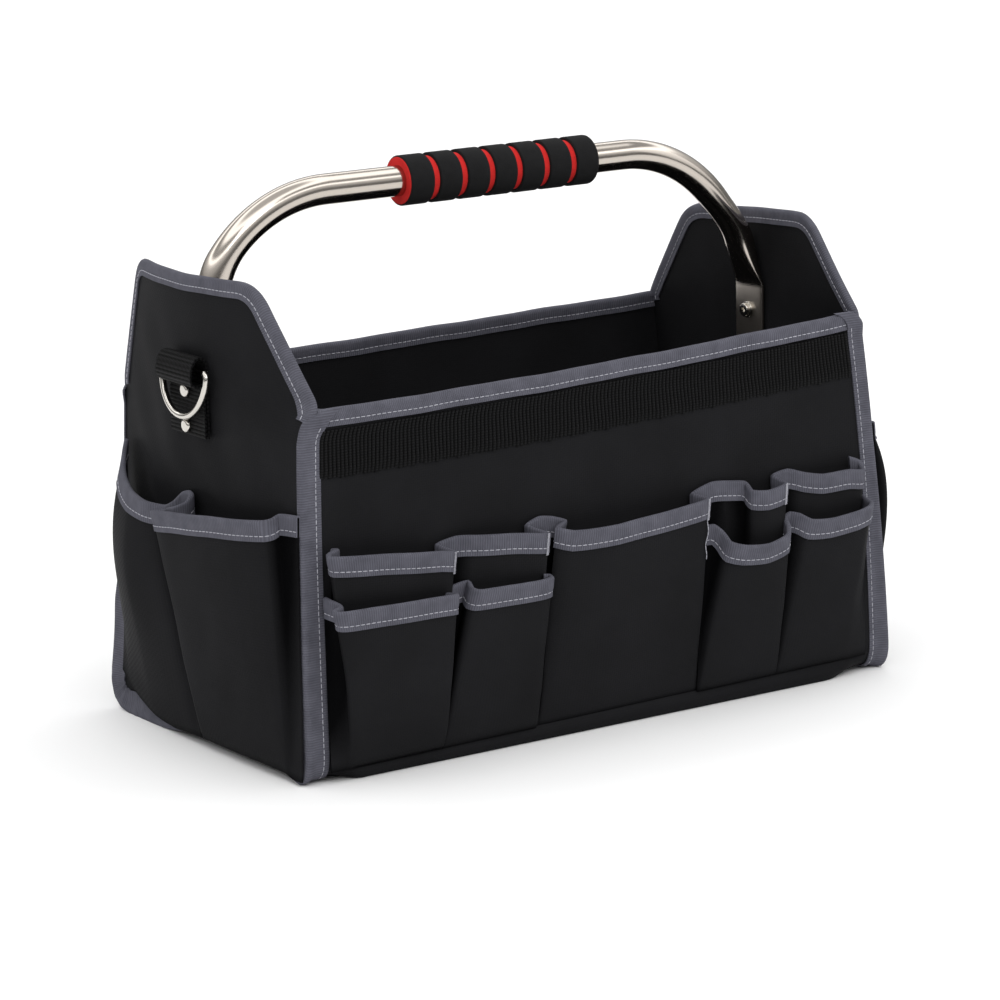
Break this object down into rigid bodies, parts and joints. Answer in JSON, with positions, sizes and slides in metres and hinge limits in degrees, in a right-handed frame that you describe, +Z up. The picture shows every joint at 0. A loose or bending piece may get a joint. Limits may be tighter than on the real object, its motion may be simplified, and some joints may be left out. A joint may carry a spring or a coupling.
{
  "type": "tool bag",
  "caption": "Open-top cloth tool bag with pleated pockets, grey edge tape, a bent steel tube handle with a foam grip, and a D-ring on each end.",
  "frame": {"origin": "middle of the base, on the surface the bag stands on", "axes": "+X along the long side, to the right as seen from the pleated front; +Y from the pleated front to the back; +Z up"},
  "size_m": [0.4713, 0.2603, 0.3465],
  "materials": {
    "oxford_cloth": "coated plain weave",
    "edge_tape": "ribbed tape, matt",
    "ribbed_webbing": "ribbed webbing",
    "polished_steel": "polished plating",
    "nickel": "satin nickel",
    "black_foam": "matt foam",
    "red_foam": "matt foam"
  },
  "bodies": {
    "bag": {"front_panel": "oxford_cloth", "back_panel": "oxford_cloth", "base_panel": "oxford_cloth", "front_pocket_strip": "oxford_cloth", "front_pocket_lower_left": "oxford_cloth", "front_pocket_lower_right": "oxford_cloth", "end_panel_left": "oxford_cloth", "end_panel_right": "oxford_cloth", "end_pocket_left": "oxford_cloth", "end_pocket_right": "oxford_cloth", "front_top_binding": "edge_tape", "back_top_binding": "edge_tape", "front_strip_binding": "edge_tape", "lower_left_binding": "edge_tape", "lower_right_binding": "edge_tape", "end_top_binding_left": "edge_tape", "end_top_binding_right": "edge_tape", "seam_binding_left": "edge_tape", "seam_binding_right": "edge_tape", "end_pocket_binding_left": "edge_tape", "end_pocket_binding_right": "edge_tape", "front_webbing": "ribbed_webbing", "ring_strap_left": "ribbed_webbing", "ring_strap_right": "ribbed_webbing", "handle_tube": "polished_steel", "handle_bolt_left_upper": "nickel", "handle_bolt_left_lower": "nickel", "handle_bolt_right_upper": "nickel", "handle_bolt_right_lower": "nickel", "grip_ring_1": "black_foam", "grip_ring_2": "black_foam", "grip_ring_3": "black_foam", "grip_ring_4": "black_foam", "grip_ring_5": "black_foam", "grip_ring_6": "black_foam", "grip_ring_7": "black_foam", "grip_core": "red_foam"},
    "ring_left": {"d_ring_left": "nickel"},
    "ring_right": {"d_ring_right": "nickel"}
  },
  "joints": [
    {"name": "ring_left_hinge", "type": "hinge", "parent": "bag", "child": "ring_left", "pos_m": [-0.2158, 0.002, 0.234], "axis": [0, 1, 0], "range_deg": [0, 150]},
    {"name": "ring_right_hinge", "type": "hinge", "parent": "bag", "child": "ring_right", "pos_m": [0.2158, 0.002, 0.234], "axis": [0, -1, 0], "range_deg": [0, 150]}
  ]
}
